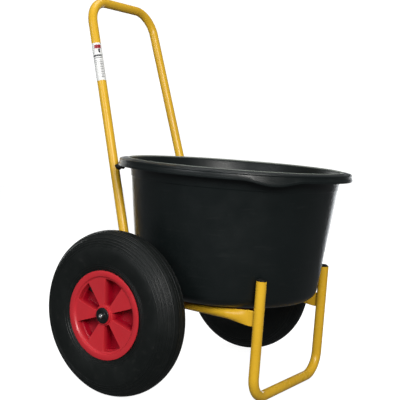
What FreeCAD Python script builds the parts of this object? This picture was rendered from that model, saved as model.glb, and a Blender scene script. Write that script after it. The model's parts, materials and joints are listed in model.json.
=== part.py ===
import FreeCAD, Part
import math
import os
import re
import Sketcher

# Two-wheeled tub cart: a bent-tube frame with a push handle, an axle with two pneumatic wheels,
# a front foot and a lift-out round tub.
# Row frame: millimetres, +X to the cart's right, -Y towards its foot (the front), +Z up,
# origin on the floor under the middle of the cart.
# Design frame: origin at the axle's centre, rails level. The whole frame and the tub then lean
# forward about the axle by "tilt", because the foot is shorter than the wheels' radius asks for.

SIZES = {
    # stance
    "axle_height": 200.0,
    "axle_back": 79.0,
    "tilt": 2.75,
    # frame tube
    "tube_diameter": 25.0,
    "tube_wall": 2.0,
    # rails, from the foot back to the leg bends
    "rail_rise": 21.5,
    "rail_front_half": 166.4,
    "corner_half": 169.5,
    "corner_back": 58.6,
    "leg_bend_radius": 65.0,
    "leg_stub": 75.0,
    "blade_height": 38.0,
    "blade_thickness": 5.0,
    "blade_length": 14.0,
    "flare_length": 58.0,
    # push handle
    "handle_lean": 17.87,
    "handle_length": 795.3,
    "handle_top_half": 131.2,
    "handle_bend_radius": 68.0,
    # foot
    "foot_reach": 315.7,
    "foot_half": 166.45,
    "foot_top": 113.8,
    "foot_bend_radius": 55.0,
    "plug_stem": 18.0,
    "plug_dome": 5.0,
    "plug_flange": 1.2,
    "plug_edge": 1.0,
    "plug_slack": 0.15,
    # axle and what holds the wheels on it
    "axle_diameter": 20.0,
    "wheel_offset": 311.0,
    "hub_play": 0.5,
    "cap_washer_diameter": 38.0,
    "cap_washer_thickness": 3.0,
    "bolt_diameter": 6.0,
    "bolt_head_diameter": 10.0,
    "bolt_head_height": 6.0,
    "bolt_socket": 5.0,
    "bolt_grip": 22.0,
    "bolt_chamfer": 0.8,
    "bolt_hole_spare": 4.0,
    "collar_diameter": 32.0,
    "collar_width": 9.0,
    "thrust_washer_diameter": 36.0,
    "thrust_washer_thickness": 2.0,
    # tyre
    "tyre_radius": 200.0,
    "tyre_half_width": 45.5,
    "tread_half_width": 21.0,
    "tread_crown_radius": 52.0,
    "shoulder_width": 8.5,
    "shoulder_drop": 13.0,
    "sidewall_radius_at_widest": 150.0,
    "bead_half_width": 37.0,
    "bead_width": 8.0,
    "bead_shoulder": 2.0,
    "tyre_side_wall": 5.0,
    "tyre_shoulder_wall": 6.0,
    "cavity_edge": 28.0,
    "cavity_crown_radius": 60.0,
    "tube_fit": 0.4,
    "air_tube_wall": 2.0,
    "groove_count": 5.0,
    "groove_pitch": 8.5,
    "groove_width": 2.4,
    "groove_depth": 2.2,
    # rim
    "bead_seat_radius": 101.5,
    "flange_radius": 106.4,
    "flange_face": 41.0,
    "flange_thickness": 3.5,
    "barrel_wall": 5.0,
    "well_radius": 92.0,
    "well_half_width": 22.0,
    "well_taper": 5.0,
    "dish_radius": 92.0,
    "panel_face": 36.0,
    "panel_thickness": 4.0,
    "pocket_floor": 6.0,
    "spoke_count": 5.0,
    "pocket_half_angle": 18.0,
    "spoke_wall": 3.5,
    "spoke_phase": 0.0,
    "hub_radius": 21.5,
    "hub_inner_end": 34.0,
    "hub_bore_radius": 17.5,
    "pocket_hub_gap": 3.5,
    # bearings
    "sleeve_wall": 1.5,
    "roller_gap": 0.05,
    "roller_length": 16.0,
    "roller_count": 9.0,
    "cage_end": 2.5,
    "cage_slack": 0.5,
    "bearing_inset": 2.0,
    # valve
    "valve_angle": 140.0,
    "valve_out": 13.0,
    "valve_base_radius": 5.6,
    "valve_shoulder": 8.0,
    "valve_taper": 3.0,
    "valve_neck_radius": 4.2,
    "valve_tip_radius": 3.2,
    "valve_length": 30.0,
    "valve_cap_radius": 4.6,
    "valve_cap_length": 11.0,
    "valve_cap_grip": 2.0,
    "valve_cap_chamfer": 1.5,
    "valve_hole_slack": 0.2,
    # tub
    "tub_centre": 117.6,
    "tub_gap": 0.3,
    "tub_height": 335.4,
    "tub_base_radius": 234.2,
    "tub_mouth_radius": 269.1,
    "tub_wall": 3.5,
    "tub_floor": 4.0,
    "tub_corner_radius": 30.0,
    "foot_ring_radius": 200.0,
    "foot_ring_width": 8.0,
    "foot_ring_height": 4.3,
    "ledge_drop": 48.0,
    "ledge_step": 1.5,
    "ledge_rise": 2.0,
    "rim_radius": 299.6,
    "skirt_depth": 22.0,
    "skirt_flare": 2.4,
    "skirt_wall": 3.0,
    "rim_lip_flare": 4.8,
    "rim_top_wall": 4.0,
    "grip_angle": 40.5,
    "grip_half_angle": 12.5,
    "grip_drop": 10.0,
    "grip_wall": 4.0,
    "grip_peg_gap": 0.5,
    # pegs under the rear of the tub's rim
    "peg_diameter": 8.0,
    "peg_reach": 18.0,
    "peg_cap_wall": 2.0,
    "peg_cap_end": 2.5,
    "peg_cap_start": 3.0,
    "peg_cap_round": 1.0,
    "peg_slack": 0.1,
    "peg_rim_gap": 1.2,
    # wrap-round label on the left leg
    "label_start": 566.0,
    "label_length": 104.0,
    "label_thickness": 0.25,
    "label_slack": 0.02,
    "label_open": 20.0,
    # fit between pieces pressed or moulded together
    "fit_gap": 0.1,
    # how far cutting shapes run past what they cut
    "cut_reach": 60.0,
}

V = FreeCAD.Vector
X_AXIS = V(1, 0, 0)
Y_AXIS = V(0, 1, 0)
Z_AXIS = V(0, 0, 1)
SIDES = {"left": -1, "right": 1}

doc = FreeCAD.newDocument("tub_cart")
sheet = doc.addObject("Spreadsheet::Sheet", "Sizes")
for row, (word, number) in enumerate(SIZES.items(), start=1):
    sheet.set(f"A{row}", word)
    sheet.set(f"B{row}", str(number))
    sheet.setAlias(f"B{row}", word)
doc.recompute()

nodes = []


# ---- small helpers -------------------------------------------------------------------------

def formula(text):
    """The expression `text` with every size name pointed at the sheet."""
    return re.sub(r"[a-z_]+", lambda m: "Sizes." + m[0] if m[0] in SIZES else m[0], str(text))


def size(text):
    """The number that an expression in size names gives."""
    result = sheet.evalExpression(formula(text).replace("Sizes.", ""))
    return float(getattr(result, "Value", result))


def bind(item, prop, text):
    item.setExpression(prop, formula(text))


def new_body(label):
    body = doc.addObject("PartDesign::Body", label)
    body.Label = label
    return body


def keep(item, label):
    """Mark a finished sub-part, which is written to a file of this name."""
    item.Label = label
    nodes.append(item)
    return item


def origin_plane(body, role):
    return [part for part in body.Origin.OriginFeatures if part.Role == role][0]


def new_sketch(body, name, role, offset=None):
    """A sketch on one of the body's own planes, moved by `offset` within the body."""
    sketch = body.newObject("Sketcher::SketchObject", name)
    sketch.AttachmentSupport = [(origin_plane(body, role), "")]
    sketch.MapMode = "FlatFace"
    if offset is not None:
        sketch.AttachmentOffset = offset
    return sketch


def tie(sketch, kind, *where, text):
    """Add a dimension and bind it to the sheet."""
    index = sketch.addConstraint(Sketcher.Constraint(kind, *where, size(text)))
    sketch.setExpression(f"Constraints[{index}]", formula(text))


def circle(sketch, radius, x="0", y="0"):
    """A circle with its radius and its centre bound to the sheet."""
    geo = sketch.addGeometry(Part.Circle(V(size(x), size(y), 0), Z_AXIS, size(radius)))
    tie(sketch, "Radius", geo, text=radius)
    place_point(sketch, geo, 3, x, y)
    return geo


def place_point(sketch, geo, end, x, y):
    """Tie a point of the sketch to its distances from the sketch's origin."""
    for kind, text, axis in (("DistanceX", x, -2), ("DistanceY", y, -1)):
        if abs(size(text)) < 1e-9:
            sketch.addConstraint(Sketcher.Constraint("PointOnObject", geo, end, axis))
        else:
            tie(sketch, kind, -1, 1, geo, end, text=text)


def outline(sketch, corners):
    """A closed outline. Each corner is (x, y) or (x, y, radius), in size names: a radius makes
    the side that leaves the corner an arc, turning left if positive and right if negative."""
    count = len(corners)
    points = [V(size(c[0]), size(c[1]), 0) for c in corners]
    ends = []
    for i, corner in enumerate(corners):
        a, b = points[i], points[(i + 1) % count]
        if len(corner) == 2:
            geo = sketch.addGeometry(Part.LineSegment(a, b))
            ends.append((geo, 1, 2))
            continue
        radius = size(corner[2])
        chord = b - a
        left = V(-chord.y, chord.x, 0).normalize()
        height = math.sqrt(max(radius ** 2 - (chord.Length / 2) ** 2, 0))
        centre = (a + b) * 0.5 + left * math.copysign(height, radius)
        angles = [math.atan2(p.y - centre.y, p.x - centre.x) for p in (a, b)]
        if radius < 0:
            angles.reverse()
        if angles[1] < angles[0]:
            angles[1] += 2 * math.pi
        arc = Part.ArcOfCircle(Part.Circle(centre, Z_AXIS, abs(radius)), *angles)
        geo = sketch.addGeometry(arc)
        tie(sketch, "Radius", geo, text=corner[2].lstrip("-"))
        ends.append((geo, 1, 2) if radius > 0 else (geo, 2, 1))
    for i, corner in enumerate(corners):
        geo, start, _ = ends[i]
        before, _, end = ends[i - 1]
        sketch.addConstraint(Sketcher.Constraint("Coincident", before, end, geo, start))
        place_point(sketch, geo, start, corner[0], corner[1])


def revolve(body, name, sketch, axis):
    """A full turn of the sketch about its own H_Axis or V_Axis."""
    turn = body.newObject("PartDesign::Revolution", name)
    turn.Profile = sketch
    turn.ReferenceAxis = (sketch, [axis])
    turn.Angle = 360
    doc.recompute()
    return turn


def pad(body, name, sketch, length, both=False, reverse=False):
    solid = body.newObject("PartDesign::Pad", name)
    solid.Profile = sketch
    solid.SideType = "Symmetric" if both else "One side"
    solid.Reversed = reverse
    bind(solid, "Length", length)
    doc.recompute()
    return solid


def pocket(body, name, sketch, length, both=False, reverse=False):
    """A cut that must remove material."""
    before = body.Shape.Volume
    cut = body.newObject("PartDesign::Pocket", name)
    cut.Profile = sketch
    cut.SideType = "Symmetric" if both else "One side"
    cut.Reversed = reverse
    bind(cut, "Length", length)
    doc.recompute()
    if not body.Shape.Volume < before - 1e-6:
        raise ValueError(f"{name} cuts nothing")
    return cut


def repeat(body, name, features, axis_role, count):
    """Copies of features spaced evenly round one of the body's axes."""
    before = body.Shape.Volume
    pattern = body.newObject("PartDesign::PolarPattern", name)
    pattern.Originals = features
    pattern.Axis = (origin_plane(body, axis_role), [""])
    pattern.Angle = 360
    bind(pattern, "Occurrences", count)
    body.Tip = pattern
    doc.recompute()
    if abs(body.Shape.Volume - before) < 1e-6:
        raise ValueError(f"{name} changes nothing")
    return pattern


def pipe(body, name, profile, spine, cut=False):
    kind = "PartDesign::SubtractivePipe" if cut else "PartDesign::AdditivePipe"
    tube = body.newObject(kind, name)
    tube.Profile = profile
    tube.Spine = (spine, [])
    tube.Transition = "Transformed"
    doc.recompute()
    return tube


def revolved_part(label, corners, role="XY_Plane", axis="H_Axis"):
    body = new_body(label)
    sketch = new_sketch(body, label + "_section", role)
    outline(sketch, corners)
    revolve(body, label + "_turned", sketch, axis)
    return body


# ---- frames of reference -------------------------------------------------------------------

def leaning(point=V(0, 0, 0), rotation=FreeCAD.Rotation()):
    """Design frame to row frame: the forward lean about the axle, for a piece placed at
    `point` with `rotation` in the design frame."""
    lean = FreeCAD.Placement(V(0, size("axle_back"), size("axle_height")),
                             FreeCAD.Rotation(X_AXIS, size("tilt")))
    return lean * FreeCAD.Placement(point, rotation)


def leg_point(side, along):
    """A point of a leg's centre line, `along` it from the rail corner, in the design frame."""
    lean = math.radians(size("handle_lean"))
    share = along / size("handle_length")
    half = size("corner_half") + (size("handle_top_half") - size("corner_half")) * share
    return V(side * half, size("corner_back") + along * math.sin(lean),
             size("rail_rise") + along * math.cos(lean))


def leg_way(side):
    """The direction in which a leg rises."""
    return (leg_point(side, size("handle_length")) - leg_point(side, 0)).normalize()


def wheel_place(side):
    """The wheels' own frame has +X outward; the left wheel is the same piece turned round."""
    turn = FreeCAD.Rotation(Z_AXIS, 0 if side > 0 else 180)
    return FreeCAD.Placement(V(side * size("wheel_offset"), size("axle_back"), size("axle_height")), turn)


# ---- push handle: one bent tube from leg to leg --------------------------------------------

def build_handle_bow():
    body = new_body("handle_bow")
    spine = new_sketch(body, "handle_path", "XZ_Plane")
    top, half, low = size("handle_length"), size("handle_top_half"), size("corner_half")
    bend, start = size("handle_bend_radius"), size("leg_stub")
    start_half = low + (half - low) * start / top
    lines = [Part.LineSegment(V(-start_half, start, 0), V(-half, top - bend, 0)),
             Part.LineSegment(V(-half + bend, top, 0), V(half - bend, top, 0)),
             Part.LineSegment(V(half, top - bend, 0), V(start_half, start, 0))]
    arcs = [Part.ArcOfCircle(Part.Circle(V(-half + bend, top - bend, 0), Z_AXIS, bend),
                             math.pi / 2, math.pi),
            Part.ArcOfCircle(Part.Circle(V(half - bend, top - bend, 0), Z_AXIS, bend),
                             0, math.pi / 2)]
    for geometry in (lines[0], arcs[0], lines[1], arcs[1], lines[2]):
        spine.addGeometry(geometry)
    corners = [spine.addGeometry(Part.Point(V(x, top, 0)), True) for x in (-half, half)]
    spine.addConstraint([
        Sketcher.Constraint("Tangent", 0, 2, 1, 2),
        Sketcher.Constraint("Tangent", 1, 1, 2, 1),
        Sketcher.Constraint("Tangent", 2, 2, 3, 2),
        Sketcher.Constraint("Tangent", 3, 1, 4, 1),
        Sketcher.Constraint("Equal", 1, 3),
        Sketcher.Constraint("Horizontal", 2),
        Sketcher.Constraint("PointOnObject", corners[0], 1, 0),
        Sketcher.Constraint("PointOnObject", corners[1], 1, 4),
        Sketcher.Constraint("PointOnObject", corners[0], 1, 2),
    ])
    slope = "(corner_half - handle_top_half) / handle_length"
    foot_half = f"corner_half - leg_stub * {slope}"
    place_point(spine, 0, 1, f"-({foot_half})", "leg_stub")
    place_point(spine, 4, 2, foot_half, "leg_stub")
    place_point(spine, corners[0], 1, "-handle_top_half", "handle_length")
    tie(spine, "DistanceX", -1, 1, corners[1], 1, text="handle_top_half")
    tie(spine, "DistanceY", -1, 1, corners[1], 1, text="handle_length")
    tie(spine, "Radius", 1, text="handle_bend_radius")
    section = new_sketch(body, "handle_section", "YZ_Plane")
    circle(section, "tube_diameter / 2", y="handle_length")
    circle(section, "tube_diameter / 2 - tube_wall", y="handle_length")
    doc.recompute()
    body.Tip = pipe(body, "handle_tube", section, spine)
    back = V(0, size("corner_back"), size("rail_rise"))
    body.Placement = leaning(back, FreeCAD.Rotation(X_AXIS, -size("handle_lean")))
    keep(body, "handle_bow")


# ---- rails: the tube's lower end, bent forward, flared and pressed flat --------------------

def rail_frame(side):
    """Origin at the front end of the round tube, +X back along the rail, +Z towards the leg."""
    front = V(side * size("rail_front_half"), -size("foot_reach - tube_diameter / 2"), size("rail_rise"))
    corner = leg_point(side, 0)
    along = (corner - front).normalize()
    leg = leg_way(side)
    up = (leg - along * leg.dot(along)).normalize()
    across = up.cross(along)
    turn = FreeCAD.Rotation(along, across, up, "XZY")
    start = front + along * size("blade_length + flare_length")
    return FreeCAD.Placement(start, turn), (corner - start).Length, math.degrees(along.getAngle(leg))


def stadium(sketch, height, thickness):
    """A flat-sided oval, tall along the sketch's y."""
    straight, radius = f"({height} - {thickness}) / 2", f"{thickness} / 2"
    y, r = size(straight), size(radius)
    low = sketch.addGeometry(Part.ArcOfCircle(Part.Circle(V(0, -y, 0), Z_AXIS, r), math.pi, 2 * math.pi))
    right = sketch.addGeometry(Part.LineSegment(V(r, -y, 0), V(r, y, 0)))
    high = sketch.addGeometry(Part.ArcOfCircle(Part.Circle(V(0, y, 0), Z_AXIS, r), 0, math.pi))
    left = sketch.addGeometry(Part.LineSegment(V(-r, y, 0), V(-r, -y, 0)))
    sketch.addConstraint([
        Sketcher.Constraint("Tangent", low, 2, right, 1),
        Sketcher.Constraint("Tangent", right, 2, high, 1),
        Sketcher.Constraint("Tangent", high, 2, left, 1),
        Sketcher.Constraint("Tangent", left, 2, low, 1),
        Sketcher.Constraint("PointOnObject", low, 3, -2),
        Sketcher.Constraint("PointOnObject", high, 3, -2),
    ])
    tie(sketch, "DistanceY", low, 3, -1, 1, text=straight)
    tie(sketch, "DistanceY", -1, 1, high, 3, text=straight)
    tie(sketch, "Radius", low, text=radius)


def build_rail(name, side):
    label = "rail_" + name
    body = new_body(label)
    frame, length, angle = rail_frame(side)
    spine = new_sketch(body, label + "_path", "XZ_Plane")
    bend = size("leg_bend_radius")
    tangent = bend * math.tan(math.radians(angle) / 2)
    stub = size("leg_stub")
    way = V(math.cos(math.radians(angle)), math.sin(math.radians(angle)), 0)
    corner = V(length, 0, 0)
    spine.addGeometry(Part.LineSegment(V(0, 0, 0), V(length - tangent, 0, 0)))
    arc = Part.Circle(V(length - tangent, bend, 0), Z_AXIS, bend)
    spine.addGeometry(Part.ArcOfCircle(arc, -math.pi / 2, -math.pi / 2 + math.radians(angle)))
    spine.addGeometry(Part.LineSegment(corner + way * tangent, corner + way * stub))
    spine.addConstraint([
        Sketcher.Constraint("Coincident", 0, 1, -1, 1),
        Sketcher.Constraint("Horizontal", 0),
        Sketcher.Constraint("Tangent", 0, 2, 1, 1),
        Sketcher.Constraint("Tangent", 1, 2, 2, 1),
    ])
    tie(spine, "Radius", 1, text="leg_bend_radius")
    end = corner + way * stub
    spine.addConstraint(Sketcher.Constraint("DistanceX", -1, 1, 2, 2, end.x))
    spine.addConstraint(Sketcher.Constraint("DistanceY", -1, 1, 2, 2, end.y))
    spine.addConstraint(Sketcher.Constraint("Angle", 0, 1, 2, 1, math.radians(angle)))
    outer = new_sketch(body, label + "_outer", "YZ_Plane")
    circle(outer, "tube_diameter / 2")
    doc.recompute()
    pipe(body, label + "_tube", outer, spine)
    blade_at = FreeCAD.Placement(V(0, 0, -size("flare_length")), FreeCAD.Rotation())
    blade = new_sketch(body, label + "_blade", "YZ_Plane", blade_at)
    bind(blade, "AttachmentOffset.Base.z", "-flare_length")
    stadium(blade, "blade_height", "blade_thickness")
    flare = body.newObject("PartDesign::AdditiveLoft", label + "_flare")
    flare.Profile = outer
    flare.Sections = [blade]
    doc.recompute()
    pad(body, label + "_flat", blade, "blade_length", reverse=True)
    inner = new_sketch(body, label + "_inner", "YZ_Plane")
    circle(inner, "tube_diameter / 2 - tube_wall")
    doc.recompute()
    pipe(body, label + "_bore", inner, spine, cut=True)
    slit = new_sketch(body, label + "_slit", "YZ_Plane", blade_at)
    bind(slit, "AttachmentOffset.Base.z", "-flare_length")
    stadium(slit, "(blade_height - 2 * tube_wall)", "(blade_thickness - 2 * tube_wall)")
    hollow = body.newObject("PartDesign::SubtractiveLoft", label + "_hollow")
    hollow.Profile = inner
    hollow.Sections = [slit]
    doc.recompute()
    # the rail is notched over the axle, which is welded into the notch
    across = FreeCAD.Placement(V(0, 0, 0), FreeCAD.Rotation(Y_AXIS, 90))
    seat = new_sketch(body, label + "_seat", "XY_Plane", frame.inverse() * FreeCAD.Placement(
        V(side * size("corner_half"), 0, 0), across.Rotation))
    circle(seat, "axle_diameter / 2")
    pocket(body, label + "_notch", seat, "cut_reach", both=True)
    body.Placement = leaning() * frame
    keep(body, label)


# ---- foot: a U of the same tube, with a plug in each open end ------------------------------

FOOT_LOW = "((tube_diameter / 2 - axle_height + foot_reach * sin(tilt)) / cos(tilt))"


def build_foot():
    body = new_body("foot_tube")
    spine = new_sketch(body, "foot_path", "XZ_Plane")
    half, bend, top, low = (size(t) for t in ("foot_half", "foot_bend_radius", "foot_top", FOOT_LOW))
    spine.addGeometry(Part.LineSegment(V(-half, top, 0), V(-half, low + bend, 0)))
    left = Part.Circle(V(-half + bend, low + bend, 0), Z_AXIS, bend)
    spine.addGeometry(Part.ArcOfCircle(left, math.pi, 1.5 * math.pi))
    spine.addGeometry(Part.LineSegment(V(-half + bend, low, 0), V(half - bend, low, 0)))
    right = Part.Circle(V(half - bend, low + bend, 0), Z_AXIS, bend)
    spine.addGeometry(Part.ArcOfCircle(right, 1.5 * math.pi, 2 * math.pi))
    spine.addGeometry(Part.LineSegment(V(half, low + bend, 0), V(half, top, 0)))
    spine.addConstraint([
        Sketcher.Constraint("Tangent", 0, 2, 1, 1),
        Sketcher.Constraint("Tangent", 1, 2, 2, 1),
        Sketcher.Constraint("Tangent", 2, 2, 3, 1),
        Sketcher.Constraint("Tangent", 3, 2, 4, 1),
        Sketcher.Constraint("Vertical", 0),
        Sketcher.Constraint("Horizontal", 2),
        Sketcher.Constraint("Vertical", 4),
        Sketcher.Constraint("Equal", 1, 3),
    ])
    place_point(spine, 0, 1, "-foot_half", "foot_top")
    place_point(spine, 4, 2, "foot_half", "foot_top")
    tie(spine, "Radius", 1, text="foot_bend_radius")
    tie(spine, "DistanceY", -1, 1, 2, 1, text=FOOT_LOW)
    section = new_sketch(body, "foot_section", "YZ_Plane")
    circle(section, "tube_diameter / 2", y=FOOT_LOW)
    circle(section, "tube_diameter / 2 - tube_wall", y=FOOT_LOW)
    doc.recompute()
    body.Tip = pipe(body, "foot_bent_tube", section, spine)
    body.Placement = leaning(V(0, -size("foot_reach"), 0))
    keep(body, "foot_tube")


def build_foot_plug(name, side):
    """A push-in plug: a stem in the bore, a thin flange on the tube's end and a low dome."""
    bore = "(tube_diameter / 2 - tube_wall - plug_slack)"
    dome_half = "(tube_diameter / 2 - plug_edge)"
    dome_radius = f"({dome_half}^2 + plug_dome^2) / (2 * plug_dome)"
    body = revolved_part("foot_plug_" + name, [
        ("0", "-plug_stem"), (bore, "-plug_stem"), (bore, "0"), ("tube_diameter / 2", "0"),
        ("tube_diameter / 2", "plug_flange"), (dome_half, "plug_flange", dome_radius),
        ("0", "plug_flange + plug_dome")], "XZ_Plane", "V_Axis")
    top = V(side * size("foot_half"), -size("foot_reach"), size("foot_top"))
    body.Placement = leaning(top)
    keep(body, "foot_plug_" + name)


# ---- axle, collars, washers and end bolts --------------------------------------------------

HUB_FACE = "(wheel_offset + flange_face)"
AXLE_HALF = f"({HUB_FACE} + hub_play)"
INNER_HUB_FACE = "(wheel_offset - hub_inner_end)"


def build_axle():
    """A solid bar, drilled at both ends for the wheel bolts."""
    hole = "(bolt_diameter / 2 + fit_gap)"
    depth = "(bolt_grip + bolt_hole_spare)"
    body = revolved_part("axle_bar", [
        (f"-({AXLE_HALF})", hole), (f"-({AXLE_HALF})", "axle_diameter / 2"),
        (AXLE_HALF, "axle_diameter / 2"), (AXLE_HALF, hole), (f"{AXLE_HALF} - {depth}", hole),
        (f"{AXLE_HALF} - {depth}", "0"), (f"{depth} - {AXLE_HALF}", "0"), (f"{depth} - {AXLE_HALF}", hole)])
    body.Placement = leaning()
    keep(body, "axle_bar")


def build_ring(label, side, inner, outer, start, width):
    """A plain ring round the axle, from `start` outward."""
    body = revolved_part(label, [(start, inner), (start, outer), (f"{start} + {width}", outer),
                                 (f"{start} + {width}", inner)])
    turn = FreeCAD.Rotation(Z_AXIS, 0 if side > 0 else 180)
    body.Placement = leaning(rotation=turn)
    return keep(body, label)


def build_wheel_fastening(name, side):
    bore = "(axle_diameter / 2 + fit_gap)"
    washer = f"({INNER_HUB_FACE} - hub_play - thrust_washer_thickness)"
    build_ring("thrust_washer_" + name, side, bore, "thrust_washer_diameter / 2", washer,
               "thrust_washer_thickness")
    build_ring("axle_collar_" + name, side, bore, "collar_diameter / 2",
               f"({washer} - collar_width)", "collar_width")
    build_ring("cap_washer_" + name, side, "(bolt_diameter / 2 + 2 * fit_gap)",
               "cap_washer_diameter / 2", AXLE_HALF, "cap_washer_thickness")
    label = "end_bolt_" + name
    under = f"({AXLE_HALF} + cap_washer_thickness)"
    body = revolved_part(label, [
        (f"{under} - bolt_grip", "0"), (f"{under} - bolt_grip", "bolt_diameter / 2"),
        (under, "bolt_diameter / 2"), (under, "bolt_head_diameter / 2"),
        (f"{under} + bolt_head_height - bolt_chamfer", "bolt_head_diameter / 2"),
        (f"{under} + bolt_head_height", "bolt_head_diameter / 2 - bolt_chamfer"),
        (f"{under} + bolt_head_height", "0")])
    reach = "(bolt_socket / 2 / cos(30 * 1 deg))"
    tip = FreeCAD.Placement(V(0, 0, size(f"{under} + bolt_head_height")), FreeCAD.Rotation())
    socket = new_sketch(body, label + "_socket", "YZ_Plane", tip)
    bind(socket, "AttachmentOffset.Base.z", f"{under} + bolt_head_height")
    turns = [f"({60 * k} * 1 deg)" for k in range(6)]
    outline(socket, [(f"{reach} * cos{turn}", f"{reach} * sin{turn}") for turn in turns])
    doc.recompute()
    pocket(body, label + "_hex", socket, "bolt_head_height / 2")
    body.Placement = leaning(rotation=FreeCAD.Rotation(Z_AXIS, 0 if side > 0 else 180))
    keep(body, label)


# ---- wheels --------------------------------------------------------------------------------

SHOULDER = "(tyre_radius - shoulder_drop)"
BULGE = "sidewall_radius_at_widest"
BEAD_TOP = "(flange_radius + bead_shoulder)"


def bulge_radius(x, y, widest):
    """Radius of the arc from (x, y) that is upright where it meets the widest point."""
    return f"-((({widest}) - ({x}))^2 + (({y}) - {BULGE})^2) / (2 * (({widest}) - ({x})))"


def ring_section(bottom, bead, widest, edge, edge_height, crown):
    """A tyre-shaped section, the same on both sides: straight up from the bottom, two bulging
    arcs each side and a crown."""
    low, high = bulge_radius(bead, BEAD_TOP, widest), bulge_radius(edge, edge_height, widest)
    return [
        (f"-({bead})", bottom), (f"-({bead})", BEAD_TOP, low), (f"-({widest})", BULGE, high),
        (f"-({edge})", edge_height, f"-{crown}"), (edge, edge_height, high),
        (widest, BULGE, low), (bead, BEAD_TOP), (bead, bottom)]


def cavity_section(bottom, inset):
    """The space inside the tyre, `inset` from the tyre's inner wall."""
    return ring_section(
        bottom, f"bead_half_width - bead_width - {inset}", f"tyre_half_width - tyre_side_wall - {inset}",
        f"cavity_edge - {inset}", f"{SHOULDER} - tyre_shoulder_wall - {inset}", "cavity_crown_radius")


def build_tyre(name, side):
    """A hollow tyre: ribbed crown, bulging side walls, two beads that sit in the rim."""
    label = "tyre_" + name
    seat = "(bead_seat_radius + fit_gap)"
    crown_edge = "(tyre_radius - tread_crown_radius + sqrt(tread_crown_radius^2 - tread_half_width^2))"
    high = bulge_radius("tread_half_width + shoulder_width", SHOULDER, "tyre_half_width")
    low = bulge_radius("bead_half_width", BEAD_TOP, "tyre_half_width")
    body = revolved_part(label, [
        ("-bead_half_width", seat), ("-bead_half_width", BEAD_TOP, low),
        ("-tyre_half_width", BULGE, high),
        ("-(tread_half_width + shoulder_width)", SHOULDER),
        ("-tread_half_width", crown_edge, "-tread_crown_radius"), ("tread_half_width", crown_edge),
        ("tread_half_width + shoulder_width", SHOULDER, high),
        ("tyre_half_width", BULGE, low), ("bead_half_width", BEAD_TOP), ("bead_half_width", seat)])
    air = new_sketch(body, label + "_air", "XY_Plane")
    outline(air, cavity_section("bead_seat_radius - barrel_wall", "0"))
    groove(body, label + "_cavity", air)
    ribs = new_sketch(body, label + "_ribs", "XY_Plane")
    above = "tyre_radius + groove_depth"
    for number in range(int(size("groove_count"))):
        middle = f"({number} - (groove_count - 1) / 2) * groove_pitch"
        left, right = f"{middle} - groove_width / 2", f"{middle} + groove_width / 2"
        surface = f"tyre_radius - tread_crown_radius + sqrt(tread_crown_radius^2 - ({middle})^2)"
        floor = f"{surface} - groove_depth"
        outline(ribs, [(left, above), (left, floor), (right, floor), (right, above)])
    groove(body, label + "_grooves", ribs)
    body.Placement = wheel_place(side)
    keep(body, label)


def groove(body, name, sketch):
    """A turned cut about the wheel's axis that must remove material."""
    doc.recompute()
    before = body.Shape.Volume
    cut = body.newObject("PartDesign::Groove", name)
    cut.Profile = sketch
    cut.ReferenceAxis = (sketch, ["H_Axis"])
    cut.Angle = 360
    doc.recompute()
    if not body.Shape.Volume < before - 1:
        raise ValueError(f"{name} cuts nothing")


def build_inner_tube(name, side):
    """The air tube inside the tyre, a hollow rubber ring that fills the tyre's cavity."""
    label = "inner_tube_" + name
    body = new_body(label)
    section = new_sketch(body, label + "_section", "XY_Plane")
    bottom = "bead_seat_radius + tube_fit"
    outline(section, cavity_section(bottom, "tube_fit"))
    outline(section, cavity_section(f"{bottom} + air_tube_wall", "(tube_fit + air_tube_wall)"))
    revolve(body, label + "_turned", section, "H_Axis")
    body.Placement = wheel_place(side)
    keep(body, label)


def sector(sketch, inner, outer, half_angle, middle, inset):
    """A sector of a ring between two radii. Its straight sides are parallel to the rays at
    `half_angle` either side of `middle`, moved inside by `inset`."""
    points = []
    for radius, sign in ((inner, -1), (outer, -1), (outer, 1), (inner, 1)):
        swing = f"({half_angle} * 1 deg - asin({inset} / ({radius})))"
        angle = f"({middle} * 1 deg + {sign} * {swing})"
        points.append((f"({radius}) * cos({angle})", f"({radius}) * sin({angle})"))
    outline(sketch, [points[0], (*points[1], outer), points[2], (*points[3], f"-{inner}")])


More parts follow.
